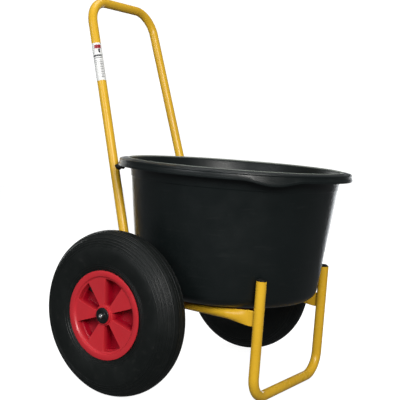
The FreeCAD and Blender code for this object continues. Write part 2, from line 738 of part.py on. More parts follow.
def build_rim(name, side):
    """One-piece moulded rim: barrel with two flanges, hub, and a web folded into five raised
    panels and five deep pockets."""
    label = "rim_" + name
    inner_barrel = "(well_radius - barrel_wall)"
    seat_inner = "(bead_seat_radius - barrel_wall)"
    body = revolved_part(label, [
        ("-hub_inner_end", "hub_bore_radius"), ("-hub_inner_end", "hub_radius"),
        ("pocket_floor - panel_thickness", "hub_radius"),
        ("pocket_floor - panel_thickness", inner_barrel),
        ("-well_half_width", inner_barrel), ("-well_half_width - well_taper", seat_inner),
        ("-flange_face", seat_inner), ("-flange_face", "flange_radius"),
        ("flange_thickness - flange_face", "flange_radius"),
        ("flange_thickness - flange_face", "bead_seat_radius"),
        ("-well_half_width - well_taper", "bead_seat_radius"), ("-well_half_width", "well_radius"),
        ("well_half_width", "well_radius"), ("well_half_width + well_taper", "bead_seat_radius"),
        ("flange_face - flange_thickness", "bead_seat_radius"),
        ("flange_face - flange_thickness", "flange_radius"),
        ("flange_face", "flange_radius"), ("flange_face", "dish_radius"),
        ("panel_face", inner_barrel), ("panel_face", "hub_radius"),
        ("flange_face", "hub_radius"), ("flange_face", "hub_bore_radius")])
    front = FreeCAD.Placement(V(0, 0, size("panel_face")), FreeCAD.Rotation())
    pocket_inner = "(hub_radius + pocket_hub_gap)"
    well = new_sketch(body, label + "_pocket", "YZ_Plane", front)
    bind(well, "AttachmentOffset.Base.z", "panel_face")
    sector(well, pocket_inner, inner_barrel, "pocket_half_angle", "spoke_phase", "0")
    doc.recompute()
    pockets = pocket(body, label + "_pocket_cut", well, "panel_face - pocket_floor")
    repeat(body, label + "_pockets", [pockets], "X_Axis", "spoke_count")
    back = FreeCAD.Placement(V(0, 0, size("pocket_floor - panel_thickness")), FreeCAD.Rotation())
    hollow = new_sketch(body, label + "_panel_back", "YZ_Plane", back)
    bind(hollow, "AttachmentOffset.Base.z", "pocket_floor - panel_thickness")
    sector(hollow, pocket_inner, f"({inner_barrel} - fit_gap)", "(180 / spoke_count - pocket_half_angle)",
           "(spoke_phase + 180 / spoke_count)", "spoke_wall")
    doc.recompute()
    behind = pocket(body, label + "_panel_hollow", hollow,
                    "panel_face - panel_thickness - (pocket_floor - panel_thickness)", reverse=True)
    repeat(body, label + "_panel_hollows", [behind], "X_Axis", "spoke_count")
    drill_valve_hole(body, label)
    body.Placement = wheel_place(side)
    keep(body, label)


def valve_frame():
    """In the wheel's frame: origin on the barrel's inside, +Z out from the axle at the valve."""
    angle = size("valve_angle")
    turn = FreeCAD.Rotation(X_AXIS, angle - 90)
    out = V(0, math.cos(math.radians(angle)), math.sin(math.radians(angle)))
    place = V(size("valve_out"), 0, 0) + out * size("well_radius - barrel_wall")
    return FreeCAD.Placement(place, turn)


def drill_valve_hole(body, label):
    hole = new_sketch(body, label + "_valve", "XY_Plane", valve_frame())
    circle(hole, "valve_base_radius + valve_hole_slack")
    doc.recompute()
    pocket(body, label + "_valve_hole", hole, "cut_reach", both=True)


def build_valve(name, side):
    """Rubber stem from the air tube in through the barrel, with a cap on its tip."""
    label = "valve_stem_" + name
    foot = "(bead_seat_radius - well_radius + barrel_wall)"
    tip = "(valve_length - valve_cap_length + valve_cap_grip)"
    body = revolved_part(label, [
        ("0", foot), ("valve_base_radius", foot), ("valve_base_radius", "-valve_shoulder"),
        ("valve_neck_radius", "-valve_shoulder - valve_taper"), ("valve_tip_radius", f"-{tip}"),
        ("0", f"-{tip}")],
        "XZ_Plane", "V_Axis")
    body.Placement = wheel_place(side) * valve_frame()
    keep(body, label)
    label = "valve_cap_" + name
    body = revolved_part(label, [
        ("0", f"-{tip} - fit_gap"), ("valve_cap_radius", f"-{tip} - fit_gap"),
        ("valve_cap_radius", f"-{tip} - valve_cap_length + valve_cap_chamfer"),
        ("valve_cap_radius - valve_cap_chamfer", f"-{tip} - valve_cap_length"),
        ("0", f"-{tip} - valve_cap_length")],
        "XZ_Plane", "V_Axis")
    body.Placement = wheel_place(side) * valve_frame()
    keep(body, label)


def build_bearings(name, side):
    """A steel sleeve pressed into the hub, and at each end a cage of loose rollers."""
    outer = "(hub_bore_radius - fit_gap)"
    inner = "(hub_bore_radius - sleeve_wall)"
    body = revolved_part("hub_sleeve_" + name, [
        ("-hub_inner_end", inner), ("-hub_inner_end", outer), ("flange_face", outer), ("flange_face", inner)])
    body.Placement = wheel_place(side)
    keep(body, "hub_sleeve_" + name)
    track = "(axle_diameter / 2 + roller_gap)"
    roller = f"(({inner} - roller_gap - {track}) / 2)"
    pitch = f"({track} + {roller})"
    ends = {"outer": "flange_face - bearing_inset - roller_length / 2 - cage_end",
            "inner": "bearing_inset + roller_length / 2 + cage_end - hub_inner_end"}
    for end, middle in ends.items():
        label = f"rollers_{end}_{name}"
        at = FreeCAD.Placement(V(0, 0, size(middle)), FreeCAD.Rotation())
        one = doc.addObject("Sketcher::SketchObject", label + "_ends")
        one.Placement = FreeCAD.Placement(V(size(middle), 0, 0),
                                          FreeCAD.Rotation(Y_AXIS, Z_AXIS, X_AXIS, "XYZ"))
        bind(one, "Placement.Base.x", middle)
        for number in range(int(size("roller_count"))):
            angle = f"({number} * 360 * 1 deg / roller_count)"
            circle(one, roller, f"{pitch} * cos{angle}", f"{pitch} * sin{angle}")
        doc.recompute()
        rollers = doc.addObject("Part::Extrusion", label + "_bars")
        rollers.Base = one
        rollers.DirMode = "Normal"
        rollers.Symmetric = True
        rollers.Solid = True
        bind(rollers, "LengthFwd", "roller_length")
        doc.recompute()
        rollers.Placement = wheel_place(side)
        keep(rollers, label)
        label = f"cage_{end}_{name}"
        cage = new_body(label)
        wide = "(roller_length / 2 + cage_end)"
        section = new_sketch(cage, label + "_section", "XY_Plane")
        low, high = f"({track} + cage_slack)", f"({inner} - cage_slack)"
        outline(section, [(f"{middle} - {wide}", low), (f"{middle} - {wide}", high),
                          (f"{middle} + {wide}", high), (f"{middle} + {wide}", low)])
        revolve(cage, label + "_ring", section, "H_Axis")
        slots = new_sketch(cage, label + "_slots", "YZ_Plane", at)
        bind(slots, "AttachmentOffset.Base.z", middle)
        circle(slots, f"{roller} + fit_gap", pitch, "0")
        doc.recompute()
        slot = pocket(cage, label + "_slot", slots, "roller_length + 2 * fit_gap", both=True)
        repeat(cage, label + "_windows", [slot], "X_Axis", "roller_count")
        cage.Placement = wheel_place(side)
        keep(cage, label)


# ---- tub -----------------------------------------------------------------------------------

TUB_SLOPE = ("((tub_mouth_radius - tub_base_radius)"
             " / (tub_height - skirt_depth - foot_ring_height))")


def tub_radius(height):
    """The tub's outer radius at a height above its foot ring, below the nesting ledge."""
    return f"(tub_base_radius + ({height} - foot_ring_height) * {TUB_SLOPE})"


def peg_centre(side):
    """Where a peg's axis meets its leg's, just far enough down for the peg to clear the rim."""
    lean = math.radians(size("handle_lean"))
    rise = size("tube_diameter / 2 + tub_gap + tub_height - skirt_depth"
                " - peg_rim_gap - peg_diameter / 2 - peg_cap_wall")
    return leg_point(side, rise / math.cos(lean))


def peg_swing():
    """Degrees from the middle of the tub's back to the outer edge of a peg, at the rim."""
    edge = peg_centre(1).x + size("peg_diameter / 2 + peg_slack + peg_cap_wall")
    return math.degrees(math.asin(edge / size("rim_radius")))


def tub_place():
    seat = V(0, -size("tub_centre"), size("rail_rise + tube_diameter / 2 + tub_gap"))
    return leaning(seat)


def build_tub():
    half_turn = f"((90 deg - atan({TUB_SLOPE})) / 2)"
    rise = f"cos(atan({TUB_SLOPE}))"
    run = f"sin(atan({TUB_SLOPE}))"
    bend = f"(tub_corner_radius * tan({half_turn}))"
    inside = "(tub_corner_radius - tub_wall)"
    bend_in = f"({inside} * tan({half_turn}))"
    ledge = "(tub_height - ledge_drop)"
    floor = "(foot_ring_height + tub_floor)"
    corner_in = f"({tub_radius(floor)} - tub_wall / {rise})"
    under = "(tub_height - rim_top_wall)"
    mouth_in = f"({tub_radius(under)} + ledge_step - tub_wall)"
    shell = new_body("tub_shell")
    section = new_sketch(shell, "tub_section", "XZ_Plane")
    outline(section, [
        ("0", "foot_ring_height"), ("foot_ring_radius - foot_ring_width", "foot_ring_height"),
        ("foot_ring_radius - foot_ring_width", "0"), ("foot_ring_radius", "0"),
        ("foot_ring_radius", "foot_ring_height"),
        (f"tub_base_radius - {bend}", "foot_ring_height", "tub_corner_radius"),
        (f"tub_base_radius + {bend} * {run}", f"foot_ring_height + {bend} * {rise}"),
        (tub_radius(ledge), ledge), (f"{tub_radius(ledge)} + ledge_step", f"{ledge} + ledge_rise"),
        (f"{tub_radius(under)} + ledge_step", under), ("rim_radius - skirt_wall", under),
        ("rim_radius + skirt_flare - skirt_wall", "tub_height - skirt_depth"),
        ("rim_radius + skirt_flare", "tub_height - skirt_depth"),
        ("rim_radius", "tub_height"), (f"{mouth_in} + rim_lip_flare", "tub_height"),
        (mouth_in, "tub_height - 2 * rim_top_wall"),
        (f"{tub_radius(ledge)} + ledge_step - tub_wall", f"{ledge} + ledge_rise"),
        (f"{tub_radius(ledge)} - tub_wall", f"{ledge}"),
        (f"{corner_in} + {bend_in} * {run}", f"{floor} + {bend_in} * {rise}", f"-{inside}"),
        (f"{corner_in} - {bend_in}", floor), ("0", floor)])
    revolve(shell, "tub_turned", section, "V_Axis")
    pieces = [shell]
    front = size("grip_angle")
    back = 180 + peg_swing() + size("grip_half_angle + grip_peg_gap")
    for name, turn in (("front", front), ("back", back)):
        pieces.append(build_grip(name, turn))
    tub = doc.addObject("Part::MultiFuse", "tub")
    tub.Shapes = pieces
    tub.Refine = True
    doc.recompute()
    tub.Placement = tub_place()
    keep(tub, "tub")


def build_grip(name, turn):
    """A hand grip moulded under the skirt: a crescent that hangs from the skirt's lower edge."""
    ring = new_body(f"grip_{name}_ring")
    section = new_sketch(ring, f"grip_{name}_section", "XZ_Plane")
    outer = "(rim_radius + skirt_flare)"
    skirt_end = "(tub_height - skirt_depth)"
    low = f"{skirt_end} - 2 * grip_drop"
    outline(section, [(f"{outer} - grip_wall", low), (outer, low), (outer, skirt_end),
                      (f"{outer} - grip_wall", skirt_end)])
    revolve(ring, f"grip_{name}_turned", section, "V_Axis")
    chord = "((rim_radius + skirt_flare) * sin(grip_half_angle))"
    bow = f"(({chord}^2 + grip_drop^2) / (2 * grip_drop))"
    disc = doc.addObject("Part::Cylinder", f"grip_{name}_bow")
    bind(disc, "Radius", bow)
    bind(disc, "Height", "rim_radius + cut_reach")
    doc.recompute()
    lift = V(0, 0, size(f"{skirt_end} - grip_drop + {bow}"))
    spin = FreeCAD.Rotation(Z_AXIS, -turn)
    disc.Placement = FreeCAD.Placement(lift, spin * FreeCAD.Rotation(X_AXIS, 90))
    grip = doc.addObject("Part::Common", f"grip_{name}")
    grip.Base = ring
    grip.Tool = disc
    doc.recompute()
    return grip


# ---- pegs that keep the tub's rim from tipping back ---------------------------------------

def build_peg(name, side):
    centre = peg_centre(side)
    forward = FreeCAD.Rotation(X_AXIS, 90)
    rod = doc.addObject("Part::Cylinder", f"peg_{name}_rod")
    bind(rod, "Radius", "peg_diameter / 2")
    bind(rod, "Height", "tube_diameter / 2 + peg_reach")
    leg = doc.addObject("Part::Cylinder", f"peg_{name}_leg")
    bind(leg, "Radius", "tube_diameter / 2")
    bind(leg, "Height", "cut_reach")
    doc.recompute()
    way = leg_way(side)
    rod.Placement = leaning(centre, forward)
    leg.Placement = leaning(centre - way * (leg.Height.Value / 2), FreeCAD.Rotation(Z_AXIS, way))
    peg = doc.addObject("Part::Cut", "rim_peg_" + name)
    peg.Base = rod
    peg.Tool = leg
    keep(peg, "rim_peg_" + name)
    label = "peg_cap_" + name
    inner, outer = "(peg_diameter / 2 + peg_slack)", "(peg_diameter / 2 + peg_cap_wall)"
    end = "(tube_diameter / 2 + peg_reach)"
    mouth = "(tube_diameter / 2 + peg_cap_start)"
    body = revolved_part(label, [
        ("0", f"{end} + peg_slack"), (inner, f"{end} + peg_slack"), (inner, mouth), (outer, mouth),
        (outer, f"{end} + peg_cap_end - peg_cap_round"),
        (f"{outer} - peg_cap_round", f"{end} + peg_cap_end"),
        ("0", f"{end} + peg_cap_end")], "XZ_Plane", "V_Axis")
    body.Placement = leaning(centre, forward)
    keep(body, label)


# ---- label ---------------------------------------------------------------------------------

def build_label():
    """A thin film wrapped round the left leg, its two edges a little apart at the back."""
    body = new_body("label_wrap")
    section = new_sketch(body, "label_section", "XZ_Plane")
    inner, outer = "(tube_diameter / 2 + label_slack)", "(tube_diameter / 2 + label_slack + label_thickness)"
    outline(section, [(inner, "0"), (outer, "0"), (outer, "label_length"), (inner, "label_length")])
    turn = revolve(body, "label_turned", section, "V_Axis")
    bind(turn, "Angle", "360 - label_open")
    base = leg_point(-1, size("label_start"))
    stand = FreeCAD.Rotation(Z_AXIS, leg_way(-1)) * FreeCAD.Rotation(Z_AXIS, 90 + size("label_open") / 2)
    body.Placement = leaning(base, stand)
    keep(body, "label_wrap")


build_handle_bow()
build_foot()
build_axle()
build_tub()
build_label()
for side_name, side_sign in SIDES.items():
    build_rail(side_name, side_sign)
    build_foot_plug(side_name, side_sign)
    build_peg(side_name, side_sign)
    build_wheel_fastening(side_name, side_sign)
    build_tyre(side_name, side_sign)
    build_inner_tube(side_name, side_sign)
    build_rim(side_name, side_sign)
    build_valve(side_name, side_sign)
    build_bearings(side_name, side_sign)

doc.recompute()
for item in doc.Objects:
    if {"Invalid", "Error"} & set(item.State):
        raise ValueError(f"{item.Label} failed to build: {item.State}")
for item in nodes:
    if item.Shape.isNull() or not item.Shape.isValid():
        raise ValueError(f"{item.Label} has no valid shape")

os.makedirs("parts", exist_ok=True)
for item in nodes:
    item.Shape.exportStep(f"parts/{item.Label}.step")
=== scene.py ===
import json
import math

import bmesh
import bpy
from mathutils import Euler, Matrix, Vector


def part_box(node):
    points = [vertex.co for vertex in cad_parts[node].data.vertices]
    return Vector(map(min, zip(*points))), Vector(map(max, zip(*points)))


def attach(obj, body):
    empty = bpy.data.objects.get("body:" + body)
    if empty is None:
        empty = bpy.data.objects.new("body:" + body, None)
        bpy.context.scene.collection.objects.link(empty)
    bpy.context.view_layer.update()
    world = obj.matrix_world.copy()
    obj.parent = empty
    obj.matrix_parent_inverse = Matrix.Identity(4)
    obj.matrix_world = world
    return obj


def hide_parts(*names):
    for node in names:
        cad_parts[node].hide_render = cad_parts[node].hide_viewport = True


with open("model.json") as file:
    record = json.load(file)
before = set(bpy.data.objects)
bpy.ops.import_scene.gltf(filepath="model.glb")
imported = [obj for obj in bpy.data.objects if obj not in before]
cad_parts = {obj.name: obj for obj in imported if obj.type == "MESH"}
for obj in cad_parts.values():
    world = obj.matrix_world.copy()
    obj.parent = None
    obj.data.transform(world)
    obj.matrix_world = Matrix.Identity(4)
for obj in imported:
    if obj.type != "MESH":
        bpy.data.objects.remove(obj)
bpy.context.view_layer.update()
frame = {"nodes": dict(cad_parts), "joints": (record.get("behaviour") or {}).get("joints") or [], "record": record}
bpy.ops.object.select_all(action="DESELECT")


# ---- Studio -----------------------------------------------------------------------------------
# A white paper floor in a white room. Soft lamps stand in front, on the left and near the camera,
# a weak one hangs above, and two low ones behind light the tub's edges. One more lamp and a wide
# soft sky only fill the shade.

def soft_lamp(name, place, target, width, power, colour, mirrored=True):
    """A round lamp that the camera can't see; unmirrored, it leaves no glint on any surface."""
    bpy.ops.object.light_add(type="AREA", location=place)
    lamp = bpy.context.object
    lamp.name = name
    lamp.data.shape = "DISK"
    lamp.data.size = width
    lamp.data.energy = power
    lamp.data.color = colour
    lamp.visible_camera = False
    lamp.visible_glossy = mirrored
    way = Vector(target) - lamp.location
    lamp.rotation_euler = way.to_track_quat("-Z", "Y").to_euler()


camera_place = Vector((-1.78070, -1.15458, 0.60674))
camera_yaw = math.radians(-55.902)
camera_pitch = math.radians(-3.839)
camera_roll = math.radians(1.898)

bpy.ops.object.camera_add(location=camera_place)
camera = bpy.context.object
camera.name = "studio_camera"
camera.data.lens = 72.32
camera.data.sensor_width = 36.0
turn = Matrix.Rotation(camera_yaw, 3, "Z") @ Matrix.Rotation(math.pi / 2 + camera_pitch, 3, "X")
camera.rotation_euler = (turn @ Matrix.Rotation(camera_roll, 3, "Z")).to_euler()
bpy.context.scene.camera = camera

room_half = 9.0


def backdrop(name, grey, glow):
    """Make the new primitive part of the studio: it glows white but lights and mirrors nothing."""
    sheet = bpy.context.object
    sheet.name = name
    finish = bpy.data.materials.new(name)
    finish.use_nodes = True
    shader = finish.node_tree.nodes["Principled BSDF"]
    shader.inputs["Base Color"].default_value = (grey, grey, grey, 1)
    shader.inputs["Emission Color"].default_value = (1, 1, 1, 1)
    shader.inputs["Emission Strength"].default_value = glow
    sheet.data.materials.append(finish)
    sheet.visible_diffuse = False
    sheet.visible_glossy = False
    return sheet


bpy.ops.mesh.primitive_grid_add(x_subdivisions=12, y_subdivisions=12, size=2 * room_half)
paper = backdrop("studio_paper", 0.26, 0.93)
paper_shader = paper.active_material.node_tree.nodes["Principled BSDF"]
paper_shader.inputs["Roughness"].default_value = 1.0
paper_shader.inputs["Specular IOR Level"].default_value = 0.0

bpy.ops.mesh.primitive_uv_sphere_add(segments=48, ring_count=24, radius=room_half)
room = backdrop("studio_room", 0.0, 1.1)
room.visible_shadow = False
room.visible_transmission = False

air = bpy.data.worlds.new("studio_air")
air.use_nodes = True
air.node_tree.nodes["Background"].inputs["Color"].default_value = (0.93, 0.97, 1, 1)
air.node_tree.nodes["Background"].inputs["Strength"].default_value = 0.13
bpy.context.scene.world = air
bpy.context.scene.view_settings.view_transform = "Standard"

tub_middle = (0, 0, 0.4)
soft_lamp("lamp_front", (-2.3, -2.6, 1.9), tub_middle, 1.3, 100, (1, 0.98, 0.95))
soft_lamp("lamp_left", (-2.9, 0.5, 1.5), tub_middle, 1.2, 26, (0.96, 0.98, 1))
soft_lamp("lamp_top", (0.4, 0.2, 3.0), tub_middle, 1.6, 22, (1, 1, 1))
soft_lamp("lamp_edge", (2.9, 0.4, 0.35), (0, 0, 0.45), 1.2, 12, (0.94, 0.97, 1))
soft_lamp("lamp_back", (1.6, 2.7, 0.7), (0, 0, 0.5), 1.8, 20, (0.98, 1, 0.98))
soft_lamp("lamp_fill", (2.6, 1.6, 1.9), tub_middle, 1.6, 60, (1, 1, 1), False)
soft_lamp("lamp_near", (-2.75, -1.3, 1.35), (0, 0, 0.6), 0.7, 19, (0.92, 0.96, 1))

bpy.ops.object.light_add(type="SUN", location=(0, 0, 4))
sky = bpy.context.object
sky.name = "lamp_sky"
sky.data.energy = 0.45
sky.data.angle = math.radians(80)


# ---- Frame ------------------------------------------------------------------------------------
# Bent steel tube, 25 mm: the push handle with its legs, two rails under the tub and the foot.
# The pieces are welded together and powder coated in a warm yellow, which fills into the welds.

def new_finish(name, specular, metallic=0.0):
    """A material with its shader, and the piece's own coordinates in metres."""
    finish = bpy.data.materials.new(name)
    finish.use_nodes = True
    nodes = finish.node_tree.nodes
    nodes["Principled BSDF"].inputs["Specular IOR Level"].default_value = specular
    nodes["Principled BSDF"].inputs["Metallic"].default_value = metallic
    nodes.new("ShaderNodeTexCoord").name = "place"
    return finish


def grain(finish, scale, detail, stretch=(1, 1, 1)):
    """Noise over the piece's own coordinates, finer along an axis that is stretched more."""
    nodes, links = finish.node_tree.nodes, finish.node_tree.links
    mapping = nodes.new("ShaderNodeMapping")
    mapping.inputs["Scale"].default_value = stretch
    links.new(nodes["place"].outputs["Object"], mapping.inputs["Vector"])
    noise = nodes.new("ShaderNodeTexNoise")
    noise.inputs["Scale"].default_value = scale
    noise.inputs["Detail"].default_value = detail
    links.new(mapping.outputs["Vector"], noise.inputs["Vector"])
    return noise.outputs["Fac"]


def spread(finish, source, low, high, start=0.3, end=0.7):
    """A number that goes from low to high while its source goes from start to end."""
    nodes, links = finish.node_tree.nodes, finish.node_tree.links
    ramp = nodes.new("ShaderNodeMapRange")
    ramp.inputs["From Min"].default_value = start
    ramp.inputs["From Max"].default_value = end
    ramp.inputs["To Min"].default_value = low
    ramp.inputs["To Max"].default_value = high
    links.new(source, ramp.inputs["Value"])
    return ramp.outputs["Result"]


def tint(finish, source, first, second):
    """Colour from the first, or from any tint laid before, to the second with its source."""
    nodes, links = finish.node_tree.nodes, finish.node_tree.links
    mix = nodes.new("ShaderNodeMix")
    mix.data_type = "RGBA"
    links.new(source, mix.inputs["Factor"])
    base = nodes["Principled BSDF"].inputs["Base Color"]
    if base.is_linked:
        links.new(base.links[0].from_socket, mix.inputs["A"])
    else:
        mix.inputs["A"].default_value = (*first, 1)
    mix.inputs["B"].default_value = (*second, 1)
    links.new(mix.outputs["Result"], base)


def relief(finish, source, height):
    """Bumps of a height in metres, laid over any that are there already."""
    nodes, links = finish.node_tree.nodes, finish.node_tree.links
    bump = nodes.new("ShaderNodeBump")
    bump.inputs["Distance"].default_value = height
    bump.inputs["Strength"].default_value = 1.0
    links.new(source, bump.inputs["Height"])
    normal = nodes["Principled BSDF"].inputs["Normal"]
    if normal.is_linked:
        links.new(normal.links[0].from_socket, bump.inputs["Normal"])
    links.new(bump.outputs["Normal"], normal)


def gloss(finish, source):
    """Roughness that varies with its source."""
    shader = finish.node_tree.nodes["Principled BSDF"]
    finish.node_tree.links.new(source, shader.inputs["Roughness"])


def dress(name, finish):
    """Give a CAD node its finish."""
    for slot in frame["nodes"][name].material_slots:
        slot.material = finish


yellow = (0.740, 0.440, 0.026)
yellow_deep = (0.660, 0.370, 0.020)
paint = new_finish("frame_paint", 0.32)
tint(paint, spread(paint, grain(paint, 9, 3), 0, 0.8), yellow, yellow_deep)
gloss(paint, spread(paint, grain(paint, 35, 4), 0.22, 0.34))
relief(paint, grain(paint, 500, 1), 0.000008)
relief(paint, grain(paint, 30, 2), 0.00006)
for name in ("handle_bow", "rail_left", "rail_right", "foot_tube"):
    dress(name, paint)


def start_mesh(name):
    """Name the primitive that was just added and open it for editing."""
    piece = bpy.context.object
    piece.name = name
    piece.data.name = name
    bpy.ops.object.mode_set(mode="EDIT")
    return piece


def pick(kind, test):
    """Select the faces, edges or verts of the open mesh whose place or shape passes a test."""
    piece = bpy.context.edit_object
    bpy.ops.mesh.select_mode(type={"faces": "FACE", "edges": "EDGE", "verts": "VERT"}[kind])
    bpy.ops.mesh.select_all(action="DESELECT")
    shape = bmesh.from_edit_mesh(piece.data)
    for part in getattr(shape, kind):
        if not part.hide and test(part):
            part.select_set(True)
    shape.select_flush_mode()
    bmesh.update_edit_mesh(piece.data)


def place_piece(piece, location=(0, 0, 0), rotation=(0, 0, 0), sharp=30):
    """Close the mesh, put it in its place for good and shade it smooth up to an angle."""
    if bpy.context.mode == "EDIT_MESH":
        bpy.ops.object.mode_set(mode="OBJECT")
    bpy.ops.object.select_all(action="DESELECT")
    piece.select_set(True)
    bpy.context.view_layer.objects.active = piece
    piece.location = location
    piece.rotation_euler = rotation
    bpy.ops.object.transform_apply(location=True, rotation=True, scale=True)
    bpy.ops.object.shade_smooth_by_angle(angle=math.radians(sharp))
    piece.select_set(False)
    return piece


def weld_run(name, start, end, radius, ripple=0.0022, dip=0.84, tip=0.45):
    """A straight run of weld: a rod cut into short ripples with rounded-off ends."""
    start, end = Vector(start), Vector(end)
    length = (end - start).length
    steps = max(6, round(length / ripple))
    bpy.ops.mesh.primitive_cylinder_add(vertices=14, radius=radius, depth=length)
    piece = start_mesh(name)
    pick("edges", lambda e: abs(e.verts[0].co.z - e.verts[1].co.z) > length / 2)
    bpy.ops.mesh.subdivide(number_cuts=steps - 1)
    for step in range(steps + 1):
        level = length * (step / steps - 0.5)
        pick("verts", lambda v: abs(v.co.z - level) < length / steps / 4)
        swell = 1.0 if step % 2 else dip
        if step in (0, steps):
            swell = tip
        bpy.ops.transform.resize(value=(swell, swell, 1))
    turn = (end - start).to_track_quat("Z", "Y").to_euler()
    return place_piece(piece, (start + end) / 2, turn, 50)


def weld_ring(name, centre, axis, ring, radius, steps=40, dip=0.84):
    """A run of weld all the way round a bar: a ring whose section swells with each ripple."""
    bpy.ops.mesh.primitive_torus_add(
        major_segments=2 * steps, minor_segments=10, major_radius=ring, minor_radius=radius)
    piece = start_mesh(name)
    for step in range(0, 2 * steps, 2):
        angle = math.pi * step / steps
        middle = Vector((ring * math.cos(angle), ring * math.sin(angle), 0))
        pick("verts", lambda v: (v.co - middle).length < radius * 1.05)
        bpy.ops.transform.resize(value=(dip, dip, dip))
    turn = Vector(axis).to_track_quat("Z", "Y").to_euler()
    return place_piece(piece, centre, turn, 50)


# The frame is set out level and leans a little forward, so places on it are given from the axle's
# middle: out to one hand, forward along the rails and up square to them.
up = Vector(frame["record"]["mounts"][0]["axis"]).normalized()
forward = Vector((0, -up.z, up.y))
axle_middle = Vector((0, 0.079, 0.200))


def on_frame(out, ahead, rise):
    """A place on the leaning frame."""
    return axle_middle + Vector((out, 0, 0)) + forward * ahead + up * rise


leg_angle = math.radians(17.87)
leg_length = 0.7953
leg_half, leg_back, leg_rise = 0.1695, 0.0586, 0.0215
leg_narrowing = 0.0383


def on_leg(hand, along):
    """A point on the middle line of a handle leg, so far up from where it meets its rail."""
    return on_frame(hand * (leg_half - leg_narrowing * along / leg_length),
                    -leg_back - along * math.sin(leg_angle), leg_rise + along * math.cos(leg_angle))


leg_seam, leg_seam_ring, leg_seam_radius = 0.075, 0.0121, 0.0014
blade_out, blade_up, blade_half = 0.1664, 0.0188, 0.0025
blade_weld_half, blade_weld_radius = 0.0175, 0.0034
blade_weld_off, blade_weld_back = 0.0012, 0.0022
axle_weld_out, axle_weld_ahead, axle_weld_rise = 0.1610, 0.0088, 0.0082
axle_weld_length, axle_weld_radius = 0.0140, 0.0024
for side in ("left", "right"):
    hand = -1 if side == "left" else 1
    rail_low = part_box("rail_" + side)[0]
    blade_end = Vector((hand * blade_out, rail_low.y, rail_low.z + blade_up))
    for flank in (-1, 1):
        off = Vector((flank * (blade_half + blade_weld_off), -blade_weld_back, 0))
        run = weld_run(
            f"blade_weld_{side}_{'outer' if flank == hand else 'inner'}",
            blade_end + off - up * blade_weld_half, blade_end + off + up * blade_weld_half,
            blade_weld_radius)
        run.data.materials.append(paint)
        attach(run, "frame")
    leg_way = on_leg(hand, leg_length) - on_leg(hand, 0)
    seam = weld_ring("leg_weld_" + side, on_leg(hand, leg_seam), leg_way,
                     leg_seam_ring, leg_seam_radius)
    seam.data.materials.append(paint)
    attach(seam, "frame")
    for end, reach in (("front", 1), ("back", -1)):
        start = on_frame(hand * axle_weld_out, reach * axle_weld_ahead, axle_weld_rise)
        stop = start + Vector((hand * axle_weld_length, 0, 0))
        bead = weld_run(f"axle_weld_{side}_{end}", start, stop, axle_weld_radius)
        bead.data.materials.append(paint)
        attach(bead, "frame")


# ---- Tub --------------------------------------------------------------------------------------
# Round black builder's tub, injection moulded in one shot of recycled polyethylene. Its rim turns
# down into a skirt with two hand grips, and a ledge below it keeps nested tubs from jamming.

def turned(name, sides, corners):
    """A shell turned about Z: one circle pulled on and scaled from corner to corner."""
    radius, height = corners[0]
    bpy.ops.mesh.primitive_circle_add(vertices=sides, radius=radius, location=(0, 0, height))
    bpy.ops.object.transform_apply(location=True)
    piece = start_mesh(name)
    bpy.ops.mesh.select_all(action="SELECT")
    for next_radius, next_height in corners[1:]:
        bpy.ops.mesh.extrude_region_move(
            TRANSFORM_OT_translate={"value": (0, 0, next_height - height)})
        scale = next_radius / radius
        bpy.ops.transform.resize(value=(scale, scale, 1), center_override=(0, 0, next_height))
        radius, height = next_radius, next_height
    return piece


def on_ring(part, radius, height, slack=0.0002):
    """True for what lies on the circle of that radius at that height."""
    return all(
        abs(math.hypot(v.co.x, v.co.y) - radius) < slack and abs(v.co.z - height) < slack
        for v in part.verts)


def round_rings(width, cuts, *rings):
    """Bevel the circular edges that run through these corners."""
    pick("edges", lambda e: any(on_ring(e, radius, height) for radius, height in rings))
    bpy.ops.mesh.bevel(offset=width, segments=cuts, affect="EDGES")


def close_shell():
    """Merge what lies together and point every face outwards."""
    bpy.ops.mesh.select_all(action="SELECT")
    bpy.ops.mesh.remove_doubles(threshold=0.00002)
    bpy.ops.mesh.select_all(action="SELECT")
    bpy.ops.mesh.normals_make_consistent(inside=False)


tub_height = 0.3354
tub_base = 0.2342
tub_mouth = 0.2691
tub_floor = 0.0083
wall = 0.0035
floor_middle, floor_ring = 0.060, 0.150
foot_inner, foot_outer, foot_height = 0.192, 0.200, 0.0043
ledge_height, ledge_step, ledge_rise = 0.2874, 0.0015, 0.002
rim_under = 0.3314
rim_edge, rim_edge_drop = 0.2996, 0.0036
bead_in, bead_out = 0.0048, 0.0080
skirt_low = 0.3134
skirt_top_inner, skirt_low_inner = 0.2960, 0.2990
skirt_edge = 0.3018
lip_rise = 0.0055
floor_round, foot_round = 0.0235, 0.0268
tub_slope = (tub_mouth - tub_base) / (skirt_low - foot_height)


def tub_radius(height):
    """Radius of the tub's outer wall at a height, below the ledge."""
    return tub_base + (height - foot_height) * tub_slope


under_radius = tub_radius(rim_under) + ledge_step
mouth = under_radius - wall
ledge = [(tub_radius(ledge_height), ledge_height),
         (tub_radius(ledge_height) + ledge_step, ledge_height + ledge_rise)]
ledge_inside = [(ledge[1][0] - wall, ledge[1][1]), (ledge[0][0] - wall, ledge_height - 0.001)]
wall_rings = [(tub_radius(height), height) for height in (0.09, 0.20)]
skirt = [(under_radius, rim_under), (skirt_top_inner, rim_under), (skirt_low_inner, skirt_low),
         (skirt_edge, skirt_low), (skirt_edge - 0.0002, skirt_low + lip_rise),
         (skirt_edge - 0.0012, skirt_low + lip_rise + 0.0010)]
rim = [(rim_edge - 0.0006, tub_height - 0.0095), (rim_edge, tub_height - 0.0085),
       (rim_edge, tub_height - rim_edge_drop), (mouth + 0.0090, tub_height - 0.0014),
       (mouth + bead_out, tub_height), (mouth + bead_in, tub_height), (mouth, tub_height - 0.008)]
